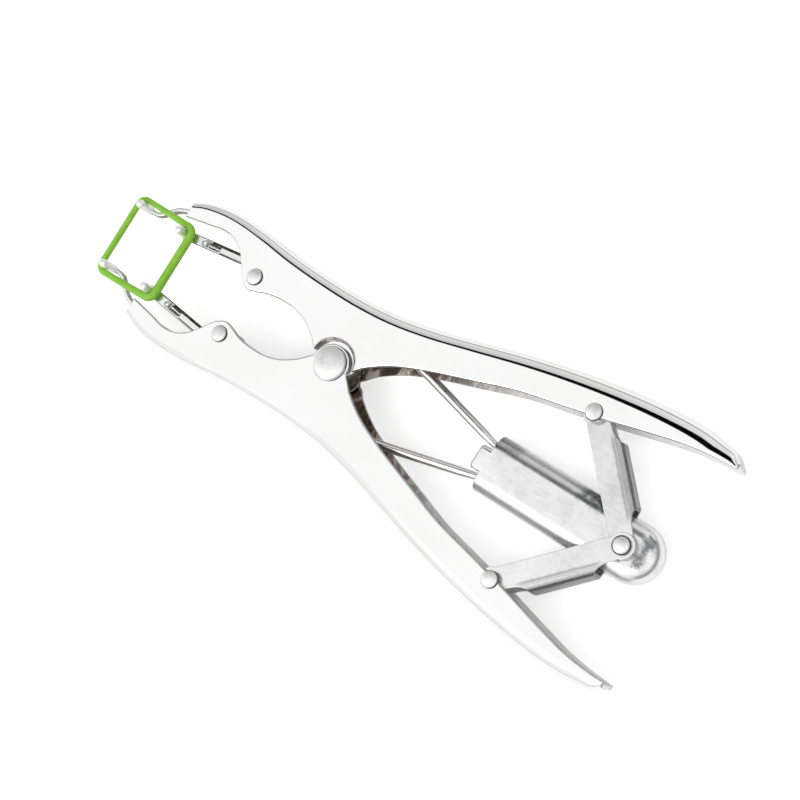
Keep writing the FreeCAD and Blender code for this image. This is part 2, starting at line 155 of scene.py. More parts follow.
class Shader:
    """A node material built round one Principled shader."""

    def __init__(self, name):
        self.material = bpy.data.materials.new(name)
        self.material.use_nodes = True
        self.nodes = self.material.node_tree.nodes
        self.links = self.material.node_tree.links
        self.bsdf = self.nodes["Principled BSDF"]
        self.coords = self.nodes.new("ShaderNodeTexCoord").outputs["Object"]

    def set(self, **values):
        for name, value in values.items():
            self.bsdf.inputs[name.replace("_", " ")].default_value = value

    def link(self, out, where):
        self.links.new(out, where if not isinstance(where, str) else self.bsdf.inputs[where])

    def mapping(self, scale, rotation=(0, 0, 0)):
        m = self.nodes.new("ShaderNodeMapping")
        m.inputs["Scale"].default_value = scale
        m.inputs["Rotation"].default_value = rotation
        self.links.new(self.coords, m.inputs["Vector"])
        return m.outputs["Vector"]

    def noise(self, scale, detail=3.0, rough=0.55, vector=None, distortion=0.0):
        n = self.nodes.new("ShaderNodeTexNoise")
        n.inputs["Scale"].default_value = scale
        n.inputs["Detail"].default_value = detail
        n.inputs["Roughness"].default_value = rough
        n.inputs["Distortion"].default_value = distortion
        self.links.new(vector or self.coords, n.inputs["Vector"])
        return n.outputs["Fac"]

    def ramp(self, fac, stops):
        r = self.nodes.new("ShaderNodeValToRGB")
        els = r.color_ramp.elements
        while len(els) < len(stops):
            els.new(0.5)
        for e, (pos, col) in zip(els, stops):
            e.position = pos
            e.color = (*col, 1.0) if len(col) == 3 else col
        self.links.new(fac, r.inputs["Fac"])
        return r.outputs["Color"]

    def remap(self, fac, a, b, c, d):
        m = self.nodes.new("ShaderNodeMapRange")
        for name, value in zip(("From Min", "From Max", "To Min", "To Max"), (a, b, c, d)):
            m.inputs[name].default_value = value
        self.links.new(fac, m.inputs["Value"])
        return m.outputs["Result"]

    def mix(self, fac, a, b, blend="MIX"):
        m = self.nodes.new("ShaderNodeMix")
        m.data_type = "RGBA"
        m.blend_type = blend
        for value, where in ((fac, m.inputs[0]), (a, m.inputs[6]), (b, m.inputs[7])):
            if isinstance(value, (int, float)):
                where.default_value = value
            elif isinstance(value, tuple):
                where.default_value = (*value, 1.0)
            else:
                self.links.new(value, where)
        return m.outputs[2]

    def maths(self, kind, a, b=0.0):
        m = self.nodes.new("ShaderNodeMath")
        m.operation = kind
        for value, where in ((a, m.inputs[0]), (b, m.inputs[1])):
            if isinstance(value, (int, float)):
                where.default_value = value
            else:
                self.links.new(value, where)
        return m.outputs[0]

    def along_x(self, start, end):
        """0 at x = start and 1 at x = end, in mm, with a soft step between."""
        x = self.nodes.new("ShaderNodeSeparateXYZ")
        self.links.new(self.coords, x.inputs["Vector"])
        return self.step(x.outputs["X"], start * MM, end * MM)

    def step(self, value, start, end):
        r = self.nodes.new("ShaderNodeMapRange")
        r.interpolation_type = "SMOOTHSTEP"
        for name, level in zip(("From Min", "From Max", "To Min", "To Max"), self.ordered(start, end)):
            r.inputs[name].default_value = level
        self.links.new(value, r.inputs["Value"])
        return r.outputs["Result"]

    @staticmethod
    def ordered(start, end):
        return (start, end, 0.0, 1.0) if start < end else (end, start, 1.0, 0.0)

    def facing_up(self):
        """How far the surface faces along Z, from 0 on a wall to 1 on a flat."""
        g = self.nodes.new("ShaderNodeNewGeometry")
        s = self.nodes.new("ShaderNodeSeparateXYZ")
        self.links.new(g.outputs["Normal"], s.inputs["Vector"])
        return self.maths("ABSOLUTE", s.outputs["Z"])

    def bump(self, layers, edge=0.0):
        """Bump from (height, strength, distance in mm) layers, over edges rounded by a radius in mm."""
        last = None
        if edge:
            rounded = self.nodes.new("ShaderNodeBevel")
            rounded.samples = 6
            rounded.inputs["Radius"].default_value = edge * MM
            last = rounded.outputs["Normal"]
        for height, strength, distance in layers:
            b = self.nodes.new("ShaderNodeBump")
            b.inputs["Strength"].default_value = strength
            b.inputs["Distance"].default_value = distance * MM
            self.links.new(height, b.inputs["Height"])
            if last is not None:
                self.links.new(last, b.inputs["Normal"])
            last = b.outputs["Normal"]
        self.links.new(last, self.bsdf.inputs["Normal"])


def make_nickel():
    s = Shader("bright_nickel_plate")
    haze = s.noise(38.0, 4.0)
    s.link(s.ramp(haze, [(0.3, (0.93, 0.927, 0.92)), (0.7, (0.965, 0.965, 0.963))]), "Base Color")
    s.set(Metallic=1.0)
    fine = s.noise(900.0, 3.0, vector=s.mapping((1.0, 9.0, 9.0)))
    s.link(s.remap(fine, 0.3, 0.75, 0.04, 0.11), "Roughness")
    s.bump([(s.noise(48.0, 1.0), 0.1, 0.4), (fine, 0.04, 0.02)])
    return s.material


def make_inside():
    """The inner face of the folded sheet, painted brown and streaky behind the pivot as the reflections and shade seen
    in the hollow there, and bright elsewhere.
    """
    s = Shader("inner_plate")
    streak = s.noise(230.0, 4.0, 0.6, vector=s.mapping((1.0, 0.45, 2.2), (0, 0, 0.7)), distortion=0.9)
    brown = s.ramp(streak, [(0.40, (0.10, 0.072, 0.052)), (0.51, (0.27, 0.20, 0.15)), (0.56, (0.58, 0.46, 0.37)),
                            (0.60, (1.0, 0.92, 0.83))])
    bright = s.ramp(streak, [(0.3, (0.88, 0.88, 0.88)), (0.5, (0.96, 0.96, 0.96)), (0.7, (0.99, 0.99, 0.99))])
    # Painted reflection and shade: brown between x = -20 and 1 mm, fading out by x = 9 mm and x = -66 mm
    painted_dark_inside = s.maths("MULTIPLY", s.along_x(9.0, 1.0), s.along_x(-66.0, -20.0))
    s.link(s.mix(painted_dark_inside, bright, brown), "Base Color")
    s.link(s.remap(painted_dark_inside, 0.0, 1.0, 0.1, 0.35), "Metallic")
    s.link(s.remap(painted_dark_inside, 0.0, 1.0, 0.34, 0.46), "Roughness")
    s.bump([(s.noise(70.0, 2.0), 0.2, 0.5), (streak, 0.1, 0.06)])
    return s.material


def make_edge(name, dark, light, roughness, metal=1.0):
    """Rolled and cut edges, duller than the plated faces beside them and painted dark as the shade and dark reflections
    along them.
    """
    s = Shader(name)
    grain = s.noise(420.0, 4.0, 0.6)
    s.link(s.ramp(grain, [(0.36, dark), (0.62, light)]), "Base Color")
    s.set(Metallic=metal, Roughness=roughness)
    s.bump([(grain, 0.15, 0.05)])
    return s.material


def zinc(s, soft, dark=0.74):
    """Satin zinc: colour, roughness and a faint grain. Returns the colour."""
    cloud = s.noise(120.0, 5.0, 0.62, distortion=0.6)
    streak = s.noise(240.0, 3.0, vector=s.mapping((0.8, 4.0, 4.0)))
    both = s.mix(0.25, cloud, streak)
    s.set(Metallic=1.0)
    s.link(s.remap(both, 0.3, 0.7, 0.32, 0.18), "Roughness")
    s.bump([(s.noise(60.0, 2.0), 0.12, 0.4), (streak, 0.05, 0.03), (s.noise(1500.0, 2.0), 0.05, 0.02)], soft)
    return s.ramp(both, [(0.3, (dark, dark, dark)), (0.46, (0.90, 0.90, 0.90)), (0.66, (0.965, 0.965, 0.965))])


def make_zinc():
    s = Shader("satin_zinc_plate")
    s.link(zinc(s, 0.3), "Base Color")
    return s.material


def make_link_zinc():
    """The links' zinc, with grey stripes painted on by how far the surface faces up, as reflections in the bends, and
    painted shade bands along the flat.
    """
    s = Shader("link_zinc_plate")
    plain = zinc(s, 0.3)
    grain = s.noise(420.0, 4.0, 0.7)
    # Painted reflection: the stripes follow the surface's tilt
    facing_value = s.maths("ADD", s.facing_up(), s.maths("MULTIPLY", s.maths("SUBTRACT", grain, 0.5), 0.12))
    tones = ((0.0, 0.42), (0.14, 0.34), (0.26, 0.82), (0.40, 0.72), (0.52, 0.34), (0.70, 0.36), (0.82, 0.72),
             (0.94, 0.84), (0.98, 0.95))
    painted_reflection_stripes = s.ramp(facing_value, [(at, (tone, tone, tone)) for at, tone in tones])
    painted_striped = s.mix(1.0, plain, painted_reflection_stripes, "MULTIPLY")
    split = s.nodes.new("ShaderNodeSeparateXYZ")
    s.links.new(s.coords, split.inputs["Vector"])
    forward = s.maths("SUBTRACT", split.outputs["X"], TAIL_X * MM)
    outward = s.maths("ABSOLUTE", split.outputs["Y"])
    lean = math.atan2(30.8, -85.2 - TAIL_X)
    along = s.maths("ADD", s.maths("MULTIPLY", forward, math.cos(lean)),
                    s.maths("MULTIPLY", outward, math.sin(lean)))
    across = s.maths("SUBTRACT", s.maths("MULTIPLY", outward, math.cos(lean)),
                     s.maths("MULTIPLY", forward, math.sin(lean)))
    across = s.maths("ADD", across, s.maths("MULTIPLY", s.maths("SUBTRACT", grain, 0.5), 0.0009))
    # Painted shade bands 2.6 to 5 mm off the link's middle line, between 6 and 36.5 mm along it
    painted_edge_bands = s.remap(across, 0.0026, 0.0050, 0.0, 1.0)
    edge_band_tones = ((0.0, 1.0), (0.16, 0.80), (0.32, 0.56), (0.46, 0.66), (0.60, 0.80), (0.78, 0.64), (1.0, 0.76))
    painted_edge_bands = s.ramp(painted_edge_bands, [(at, (tone, tone, tone)) for at, tone in edge_band_tones])
    reach = s.maths("MULTIPLY", s.step(along, 0.0060, 0.0098), s.step(along, 0.0365, 0.0330))
    s.link(s.mix(reach, painted_striped, s.mix(1.0, painted_striped, painted_edge_bands, "MULTIPLY")), "Base Color")
    return s.material


def make_slide_zinc():
    """The slide's zinc, with painted shade down its right side and a painted dark reflection at its rear."""
    s = Shader("slide_zinc_plate")
    plain = zinc(s, 0.3)
    split = s.nodes.new("ShaderNodeSeparateXYZ")
    s.links.new(s.coords, split.inputs["Vector"])
    ragged = s.maths("MULTIPLY", s.maths("SUBTRACT", s.noise(260.0, 5.0, 0.7), 0.5), 0.006)
    side = s.maths("ADD", split.outputs["Y"], ragged)
    rear = s.maths("ADD", split.outputs["X"], ragged)
    # Painted shade along the -Y side, strongest between x = -96 and -106 mm
    painted_side_shade = s.step(side, -0.0042, -0.0068)
    front = s.maths("MULTIPLY", s.step(rear, -0.074, -0.068), 0.55)
    middle = s.maths("ADD", s.maths("MULTIPLY", s.step(rear, -0.092, -0.096), 0.72), 0.2)
    painted_side_shade = s.maths("MULTIPLY", painted_side_shade, s.maths("MAXIMUM", front, middle))
    painted_side_shade = s.maths("MULTIPLY", painted_side_shade, s.step(rear, -0.114, -0.106))
    # Painted dark reflection on the rear rounding, just behind the tail rivet
    across = s.maths("ABSOLUTE", s.maths("ADD", side, 0.0018))
    painted_rear_shade = s.maths("MULTIPLY", s.step(rear, -0.1185, -0.1205), s.step(across, 0.0062, 0.0048))
    painted_rear_shade = s.maths("MULTIPLY", painted_rear_shade, s.step(rear, -0.1238, -0.1220))
    shade_mottle = s.noise(420.0, 5.0, 0.7)
    painted_dark_tones = s.ramp(shade_mottle, [(0.34, (0.09, 0.10, 0.105)), (0.5, (0.17, 0.185, 0.19)), (0.66, (0.50, 0.51, 0.51))])
    s.link(s.mix(s.maths("MAXIMUM", painted_side_shade, s.maths("MULTIPLY", painted_rear_shade, 0.85)), plain, painted_dark_tones), "Base Color")
    return s.material


def make_wire():
    s = Shader("drawn_bright_steel")
    draw = s.noise(500.0, 3.0, vector=s.mapping((0.4, 10.0, 10.0)))
    s.link(s.ramp(draw, [(0.3, (0.84, 0.84, 0.84)), (0.7, (0.96, 0.96, 0.96))]), "Base Color")
    s.set(Metallic=1.0)
    s.link(s.remap(draw, 0.3, 0.7, 0.18, 0.28), "Roughness")
    s.bump([(draw, 0.06, 0.03), (s.noise(120.0, 1.0), 0.1, 0.2)], 0.35)
    return s.material


def make_prong():
    s = Shader("prong_steel")
    haze = s.noise(500.0, 3.0)
    s.link(s.ramp(haze, [(0.3, (0.94, 0.94, 0.94)), (0.7, (0.99, 0.99, 0.99))]), "Base Color")
    s.set(Metallic=0.7, Roughness=0.4)
    s.bump([(haze, 0.1, 0.03)])
    return s.material


def make_rivet():
    s = Shader("rivet_nickel")
    haze = s.noise(260.0, 4.0)
    spot = s.noise(900.0, 3.0, 0.6)
    both = s.mix(0.35, haze, spot)
    s.link(s.ramp(both, [(0.32, (0.68, 0.68, 0.675)), (0.5, (0.90, 0.90, 0.895)), (0.66, (0.97, 0.97, 0.97))]),
           "Base Color")
    s.set(Metallic=1.0)
    s.link(s.remap(both, 0.3, 0.7, 0.5, 0.36), "Roughness")
    s.bump([(s.noise(420.0, 2.0), 0.14, 0.15), (s.noise(2500.0, 2.0), 0.08, 0.02)])
    return s.material


def make_rubber():
    s = Shader("green_latex")
    soft = s.noise(170.0, 3.0)
    s.link(s.ramp(soft, [(0.3, (0.25, 0.565, 0.042)), (0.7, (0.31, 0.64, 0.07))]), "Base Color")
    s.set(Roughness=0.42)
    s.bsdf.inputs["Specular IOR Level"].default_value = 0.35
    s.bump([(s.noise(1400.0, 3.0), 0.12, 0.04), (s.noise(220.0, 1.0), 0.1, 0.15)])
    return s.material


NICKEL = make_nickel()
INSIDE = make_inside()
# All three edge materials are painted shade and reflection: dark lines along edges, sides and rims, and brown in the
# pivot window
EDGE = make_edge("painted_shade_edge", (0.14, 0.125, 0.115), (0.42, 0.40, 0.38), 0.35)
DARK_EDGE = make_edge("dark_edge", (0.02, 0.02, 0.02), (0.12, 0.115, 0.11), 0.4)
BROWN = make_edge("brown_edge", (0.09, 0.067, 0.05), (0.22, 0.17, 0.13), 0.45, 0.35)
ZINC = make_zinc()
LINK_ZINC = make_link_zinc()
SLIDE_ZINC = make_slide_zinc()
WIRE = make_wire()
RIVET = make_rivet()
PRONG = make_prong()
RUBBER = make_rubber()

SLOT_MATERIAL = {"bright_nickel": NICKEL, "zinc_sheet": ZINC, "bright_wire": WIRE, "rivet_nickel": RIVET,
                 "green_rubber": RUBBER}
for sub in frame["record"]["subparts"]:
    node = frame["nodes"][sub["node"]]
    if not node.material_slots:
        node.data.materials.append(None)
    for s in node.material_slots:
        s.material = SLOT_MATERIAL[sub["material_slot"]]
special = [("left_link", LINK_ZINC), ("right_link", LINK_ZINC), ("slide_shell", SLIDE_ZINC)]
special += [(side + kind, PRONG) for side in ("left_", "right_") for kind in ("fixed_prong", "moving_prong")]
for name, material in special:
    for s in frame["nodes"][name].material_slots:
        s.material = material


# Arms, each one folded sheet built as closed slices along X, with rolled free edges
outer_curve = catmull(OUTER_EDGE, 640)
jaw_curve = catmull(JAW_EDGE, 600)
grip_curve = catmull(GRIP_EDGE, 520)
TIP_X = -133.1
NECK_X = 6.6
ROLL_R = 0.45


def half_height(x):
    share = min(max((x - TAPER_START_X) / (FRONT_X - TAPER_START_X), 0.0), 1.0)
    return CHANNEL_HALF - share * (CHANNEL_HALF - FRONT_HALF)


def bend_radius(x):
    share = min(max((TAPER_START_X - x) / (TAPER_START_X - BEND_GROWS_TO_X), 0.0), 1.0)
    return BEND_R_JAW + share * (BEND_R_GRIP - BEND_R_JAW)


def outer_y(x):
    if x < -126:
        return lookup(outer_curve, -126) - 0.16 * (-126 - x) - 2.6 * smooth(-128.5, TIP_X - 0.4, x) ** 1.5
    return lookup(outer_curve, x)


def upper_edge(x):
    """The free edge of the wall whose lug lies on top, down to the lug's middle."""
    if x >= 11:
        return lookup(jaw_curve, x)
    if x <= -11:
        return lookup(grip_curve, x)
    edge = 4.3 if x > 0 else 4.6
    return max(abs(x) - NECK_X, 0.0) * edge / (11 - NECK_X)


def lower_edge(x):
    """The same for the wall whose lug is stepped down inside a round window."""
    window = math.sqrt(max(LUG_WINDOW_R ** 2 - x * x, 0.0))
    return max(upper_edge(x), window)


def set_back(edge, x):
    """The free edge of the wall that lies below, a little shorter behind the jaw's lobe."""
    back = 7.2 * smooth(12, 19, x)
    return max(edge(x - back * k / 4) for k in range(5))


def rolled_edge(edge, x, room):
    slope = abs(edge(x + 0.05) - edge(x - 0.05)) / 0.1
    if edge is upper_edge and abs(x) < NECK_X:
        return 0.02
    return min(ROLL_R * math.sqrt(1 + slope * slope), 0.9, room * 0.3)


def end_drop(x):
    """How far the outer face comes down where an end of the sheet is rounded off."""
    front, tip = max(x - FRONT_X + 0.4, 0.0) / 0.4, max(TIP_X + 0.5 - x, 0.0) / 0.5
    return 0.4 * front ** 2 + 0.55 * tip ** 2


def wall(edge, x, sign, below):
    """Half a slice, from the inner corner of the free edge over the outer face to the web's middle."""
    h, t = half_height(x) - end_drop(x), SHEET - end_drop(x)
    yo, yi = outer_y(x), set_back(edge, x) if below else edge(x)
    r = min(bend_radius(x), h - 0.5, (yo - yi) * 0.8)
    room = yo - r - yi
    roll = rolled_edge(edge, x, max(room, 0.2))
    drop = ROLL_R if roll > 0.05 else 0.02
    points = [(yi + 0.1, h - t), (yi, h - t + 0.12)]
    for k in range(7):
        a = math.pi / 2 * k / 6
        points.append((yi + roll * (1 - math.cos(a)), h - drop * (1 - math.sin(a))))
    start, end = yi + roll, yo - r
    gap = end - start
    points += [(start + gap * f, h) for f in (0.04, 0.35, 0.7, 0.96)]
    for k in range(14):
        a = math.pi / 2 * k / 13
        points.append((end + r * math.sin(a), h - r + r * math.cos(a)))
    points.append((yo, (h - r) * 0.4))
    inner_r = max(r - t, 0.25)
    back = [(yo - t, (h - r) * 0.4)]
    for k in range(8):
        a = math.pi / 2 * (1 - k / 7)
        back.append((yo - t - inner_r + inner_r * math.sin(a), h - t - inner_r + inner_r * math.cos(a)))
    inner_end = yo - t - inner_r
    back += [(inner_end + (yi + 0.1 - inner_end) * f, h - t) for f in (0.3, 0.7, 0.96)]
    return [(y, sign * z) for y, z in points], [(y, sign * z) for y, z in back]


def stations():
    xs = []
    x = FRONT_X
    while x > TIP_X:
        xs.append(x)
        step = 1.0
        if 36 < x < 56 or 74 < x or x < -128:
            step = 0.4
        if 7.0 < abs(x) < 12:
            step = 0.25
        if 5.8 < abs(x) <= 8.2:
            step = 0.1
        if x > FRONT_X - 0.4 or x < TIP_X + 0.6:
            step = 0.08
        for mark in (8.2, NECK_X, -NECK_X, -5.8, 56, 12, 11):
            if x > mark + 1e-6 and x - step < mark:
                step = x - mark
        x -= step
    xs.append(TIP_X)
    return xs


def turn_over(points):
    return [(x, -y, -z) for x, y, z in points]


def paint(obj, *painted, angle=38):
    """Gives lists of faces their own materials, as (material, faces), and sharpens the hard corners."""
    for k, (material, chosen) in enumerate(painted):
        obj.data.materials.append(material)
        for i in chosen:
            obj.data.polygons[i].material_index = k + 1
    obj.data.set_sharp_from_angle(angle=math.radians(angle))


def arm_sheet(name, flip, body):
    verts, faces, painted_dark_inside, edge = [], [], [], []
    xs = stations()
    for x in xs:
        top, top_back = wall(upper_edge, x, 1, flip)
        low, low_back = wall(lower_edge, x, -1, not flip)
        ring = top + low[::-1] + low_back[::-1] + top_back
        verts += [(x, y, z) for y, z in ring]
    count = len(ring)
    outside = len(top) + len(low) - 2
    for i in range(len(xs) - 1):
        for j in range(count):
            k = (j + 1) % count
            if j < 1 or j > outside:
                painted_dark_inside.append(len(faces))
            if (1 <= j < 5 or outside - 5 < j <= outside - 1) and abs(xs[i]) > NECK_X + 0.5:
                edge.append(len(faces))
            elif outside - 9 < j <= outside - 1 and abs(xs[i]) <= LUG_WINDOW_R:
                edge.append(len(faces))
            elif j <= outside and (xs[i] > FRONT_X - 0.3 or xs[i] < TIP_X + 0.3):
                edge.append(len(faces))
            faces.append((i * count + j, i * count + k, (i + 1) * count + k, (i + 1) * count + j))
    painted_dark_inside += [len(faces), len(faces) + 1]
    faces += [tuple(range(count)), tuple((len(xs) - 1) * count + k for k in range(count))]
    obj = add_mesh(name, turn_over(verts) if flip else verts, faces, body, NICKEL)
    # Inner faces take the inside material with its painted brown reflection; rolled edges, the window's rim and the
    # ends take the edge material, painted dark as shade
    paint(obj, (INSIDE, painted_dark_inside), (EDGE, edge))
    return obj


def inset(outline, distance):
    n = len(outline)
    area = sum(a[0] * b[1] - b[0] * a[1] for a, b in zip(outline, outline[1:] + outline[:1]))
    turn = 1 if area > 0 else -1
    out = []
    for i in range(n):
        a, b, c = Vector(outline[i - 1]), Vector(outline[i]), Vector(outline[(i + 1) % n])
        t = ((b - a).normalized() + (c - b).normalized()).normalized()
        out.append((b.x - turn * t.y * distance, b.y + turn * t.x * distance))
    return out


def plate(name, outline, low, high, body, material, side=INSIDE, flip=False, roll=0.4, hole=None, slot="bright_nickel",
          mirrored=False, under=None):
    """A flat piece with rolled edges from its outline and two levels, with a hole if it has an outline too."""
    n = len(outline)
    levels = [(0.12, low), (0.0, low + 0.12)]
    levels += [(roll * (1 - math.cos(math.pi / 2 * k / 6)), high - roll * (1 - math.sin(math.pi / 2 * k / 6)))
               for k in range(7)]
    levels.append((roll + 0.08, high))
    loops = [[(x, y, z) for x, y in inset(outline, distance)] for distance, z in levels]
    if hole:
        loops += [[(x, y, z) for x, y in inset(hole, -out)] for out, z in ((0.15, high), (0.0, high - 0.15), (0.0, low))]
    verts = [v for loop in loops for v in loop]
    faces, sides = [], []
    for i in range(len(loops) - (0 if hole else 1)):
        for j in range(n):
            k = (j + 1) % n
            if i < 6 or i > len(levels):
                sides.append(len(faces))
            after = (i + 1) % len(loops)
            faces.append((i * n + j, i * n + k, after * n + k, after * n + j))
    if not hole:
        faces += [tuple((len(loops) - 1) * n + k for k in range(n)), tuple(range(n))]
    if mirrored:
        verts = [(x, -y, z) for x, y, z in verts]
    obj = add_mesh(name, turn_over(verts) if flip else verts, faces, body, material)
    paint(obj, (side, sides), (under or material, [] if hole else [len(faces) - 1]))
    return obj


def arc(radius, start, end, count):
    steps = [math.radians(start + (end - start) * k / count) for k in range(count + 1)]
    return [(radius * math.cos(a), radius * math.sin(a)) for a in steps]


def collar(name, flip, body):
    """The wall of the round window, between the sheet and its stepped-down lug, painted dark brown as the shade in that
    gap.
    """
    low, high = -CHANNEL_HALF + 0.3, -CHANNEL_HALF + 2 * SHEET + LAYER_GAP
    verts, faces = [], []
    inner, outer = arc(LUG_WINDOW_R, 11, 169, 60), arc(LUG_WINDOW_R + SHEET, 15, 165, 60)
    for (x0, y0), (x1, y1) in zip(inner, outer):
        verts += [(x0, y0, low), (x1, y1, low), (x1, y1, high), (x0, y0, high)]
    for i in range(60):
        for j in range(4):
            a, b = i * 4 + j, i * 4 + (j + 1) % 4
            faces.append((a, b, b + 4, a + 4))
    faces += [(0, 1, 2, 3), (240, 241, 242, 243)]
    obj = add_mesh(name, turn_over(verts) if flip else verts, faces, body, BROWN)
    obj.data.set_sharp_from_angle(angle=math.radians(38))


step = SHEET + LAYER_GAP
low_outline = arc(LUG_WINDOW_R + 1.2, 15, 165, 48) + arc(LUG_R, 186, 354, 60)
for side, flip in (("left", False), ("right", True)):
    body = side + "_arm_body"
    sheet = arm_sheet(side + "_arm_sheet", flip, body)
    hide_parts(side + "_arm")
    # Lug sides take the edge material, painted dark as shade, and their undersides take the inside material with its
    # painted reflection
    plate(side + "_arm_top_lug", arc(LUG_R, 0, 355, 71), CHANNEL_HALF - SHEET, CHANNEL_HALF - 0.006, body, NICKEL,
          EDGE, flip, under=INSIDE)
    stepped = [(x, -y) for x, y in low_outline]
    plate(side + "_arm_stepped_lug", stepped, CHANNEL_HALF - SHEET - step, CHANNEL_HALF - step, body, NICKEL, EDGE,
          not flip, under=INSIDE)
    collar(side + "_arm_window_wall", flip, body)


def tube(points, radii, sides=24, close_ends=True):
    verts, faces = [], []
    n = len(points)
    for i, p in enumerate(points):
        p = Vector(p)
        a = Vector(points[max(i - 1, 0)])
        b = Vector(points[min(i + 1, n - 1)])
        t = (b - a).normalized()
        up = Vector((0, 0, 1))
        across = t.cross(up).normalized()
        up = across.cross(t)
        rw, rh = radii[i]
        for k in range(sides):
            c, s = math.cos(2 * math.pi * k / sides), math.sin(2 * math.pi * k / sides)
            verts.append(tuple(p + across * (rw * c) + up * (rh * s)))
    for i in range(n - 1):
        for k in range(sides):
            a, b = i * sides + k, i * sides + (k + 1) % sides
            faces.append((a, b, b + sides, a + sides))
    if close_ends:
        faces.append(tuple(range(sides)))
        faces.append(tuple((n - 1) * sides + k for k in range(sides)))
    return verts, faces


# Shanks of the pull rods, stouter in the open window than where they pass the guide rollers
ROD_Z = 0.2
ROD_LINE = [(-67.3, 4.3), (-47.2, 9.15), (-27.0, 14.0), (-12.0, 17.0), (3.0, 18.0)]
for label, sign in (("left", 1), ("right", -1)):
    line = [p for p in catmull([(x, sign * y) for x, y in reversed(ROD_LINE)], 160) if -61.6 <= p[0] <= -13.0]
    shank_radii = []
    for x, _ in line:
        r = 1.15 + (0.12 + 0.3 * smooth(-61.0, -54.0, x)) * smooth(-13.0, -17.0, x)
        shank_radii.append((r, r))
    shank = tube([(x, y, ROD_Z) for x, y in line], shank_radii)
    add_mesh(label + "_pull_rod_shank", *shank, label + "_rod_body", WIRE)


# Claws and prong bars
CLAW_PATH = [(67.0, 22.2), (73.0, 20.9), (78.5, 18.8), (82.6, 16.9), (85.6, 14.1),
             (87.8, 12.4), (FIXED[0] - 1.3, FIXED[1]), (FIXED[0] + 1.7, FIXED[1])]
CLAW_LEVELS = (-1.5, 1.1)
BAR_LEVELS = (1.4, 2.8)
BAR_REAR = (45.5, 14.7)
HOOK = (65.0, 12.3)


def beside(path, distance):
    points = [Vector(p) for p in path]
    out = []
    for i, p in enumerate(points):
        t = (points[min(i + 1, len(points) - 1)] - points[max(i - 1, 0)]).normalized()
        out.append((p.x - t.y * distance, p.y + t.x * distance))
    return out


def stadium(start, end, radius, count, straight):
    """A long hole's outline from its two centres, with the same number of points for any radius."""
    start, end = Vector(start), Vector(end)
    heading = math.atan2(end.y - start.y, end.x - start.x)
    out = []
    for centre, far, turn in ((end, start, -90), (start, end, 90)):
        for k in range(count + 1):
            a = heading + math.radians(turn + 180 * k / count)
            out.append((centre.x + radius * math.cos(a), centre.y + radius * math.sin(a)))
        last = Vector(out[-1])
        for k in range(1, straight):
            p = last + (far - centre) * k / straight
            out.append((p.x, p.y))
    return out


claw_middle = catmull(CLAW_PATH, 70)[:-6]
for side, mirrored in (("left", False), ("right", True)):
    outline = beside(claw_middle, 0.8) + beside(claw_middle, -0.8)[::-1]
    # Claw sides take the edge material, painted dark as shade
    claw = plate(side + "_claw_strip", outline, *CLAW_LEVELS, side + "_arm_body", WIRE, EDGE, roll=0.4,
                 slot="bright_wire", mirrored=mirrored)
    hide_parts(side + "_claw")
    sign = -1 if mirrored else 1
    back = (Vector(BAR_REAR) - Vector(MOVING)).normalized()
    hook_near, hook_far = Vector(HOOK) - back * 0.6, Vector(HOOK) + back * 5.0
    # Bar sides are painted near black as shade and dark reflection
    bar = plate(side + "_bar_strip", stadium(BAR_REAR, MOVING, 1.7, 16, 12), *BAR_LEVELS, side + "_rod_body", WIRE,
                DARK_EDGE, roll=0.42, hole=stadium(hook_far, hook_near, 1.0, 16, 12), slot="bright_wire",
                mirrored=mirrored)
    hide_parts(side + "_prong_bar")
    across = Vector((back.y, -back.x)) * -sign
    # Two dark strips on top of each bar: a painted reflection line along one side and a thinner painted shade line
    # along the other
    for label, shift, start, radius, material in (("rail", 1.12, 2.2, 0.42, DARK_EDGE), ("seam", -1.2, 6.2, 0.2, DARK_EDGE)):
        run = [Vector(HOOK) + back * (start + (19.3 - start) * k / 6) + across * shift for k in range(7)]
        strip_verts, strip_faces = tube([(q.x, sign * q.y, BAR_LEVELS[1] - 0.05) for q in run], [(radius, 0.3)] * 7, 12)
        strip = add_mesh(side + "_bar_" + label, strip_verts, strip_faces, side + "_rod_body", material)


# Rivets, turned
def turned(name, place, profile, body, material, rim, segments=64):
    verts, faces = [], []
    n = len(profile)
    for k in range(segments):
        a = 2 * math.pi * k / segments
        verts += [(place[0] + r * math.cos(a), place[1] + r * math.sin(a), z) for r, z in profile]
    for k in range(segments):
        m = (k + 1) % segments
        for j in range(n - 1):
            faces.append((k * n + j, k * n + j + 1, m * n + j + 1, m * n + j))
    faces += [tuple(k * n for k in range(segments)), tuple(k * n + n - 1 for k in range(segments))]
    obj = add_mesh(name, verts, faces, body, material)
    # The rim faces are painted near black as shade and contact shadow
    dark = [k * (n - 1) + j for k in range(segments) for j in rim]
    paint(obj, (DARK_EDGE, dark), angle=50)
    return obj


def head_profile(radius, top, under, crown):
    """A crowned head with a rounded rim, from its middle outwards."""
    rim = (top - under) * 0.62
    points = [(radius * f, top - crown * f ** 2.4) for f in (0.03, 0.2, 0.4, 0.55, 0.68, 0.78, 0.86)]
    edge_r, edge_z = points[-1]
    for k in range(1, 8):
        a = math.pi / 2 * k / 7
        points.append((edge_r + (radius - edge_r) * math.sin(a), under + 0.12 + (edge_z - under - 0.12) *
                       (1 - (1 - math.cos(a)))))
    # A thin flange on the plate round the head, painted dark with the lower rim as a contact shadow
    points += [(radius + 0.16, CHANNEL_HALF + 0.04), (radius + 0.16, CHANNEL_HALF + 0.01), (radius - 0.1, under)]
    return points


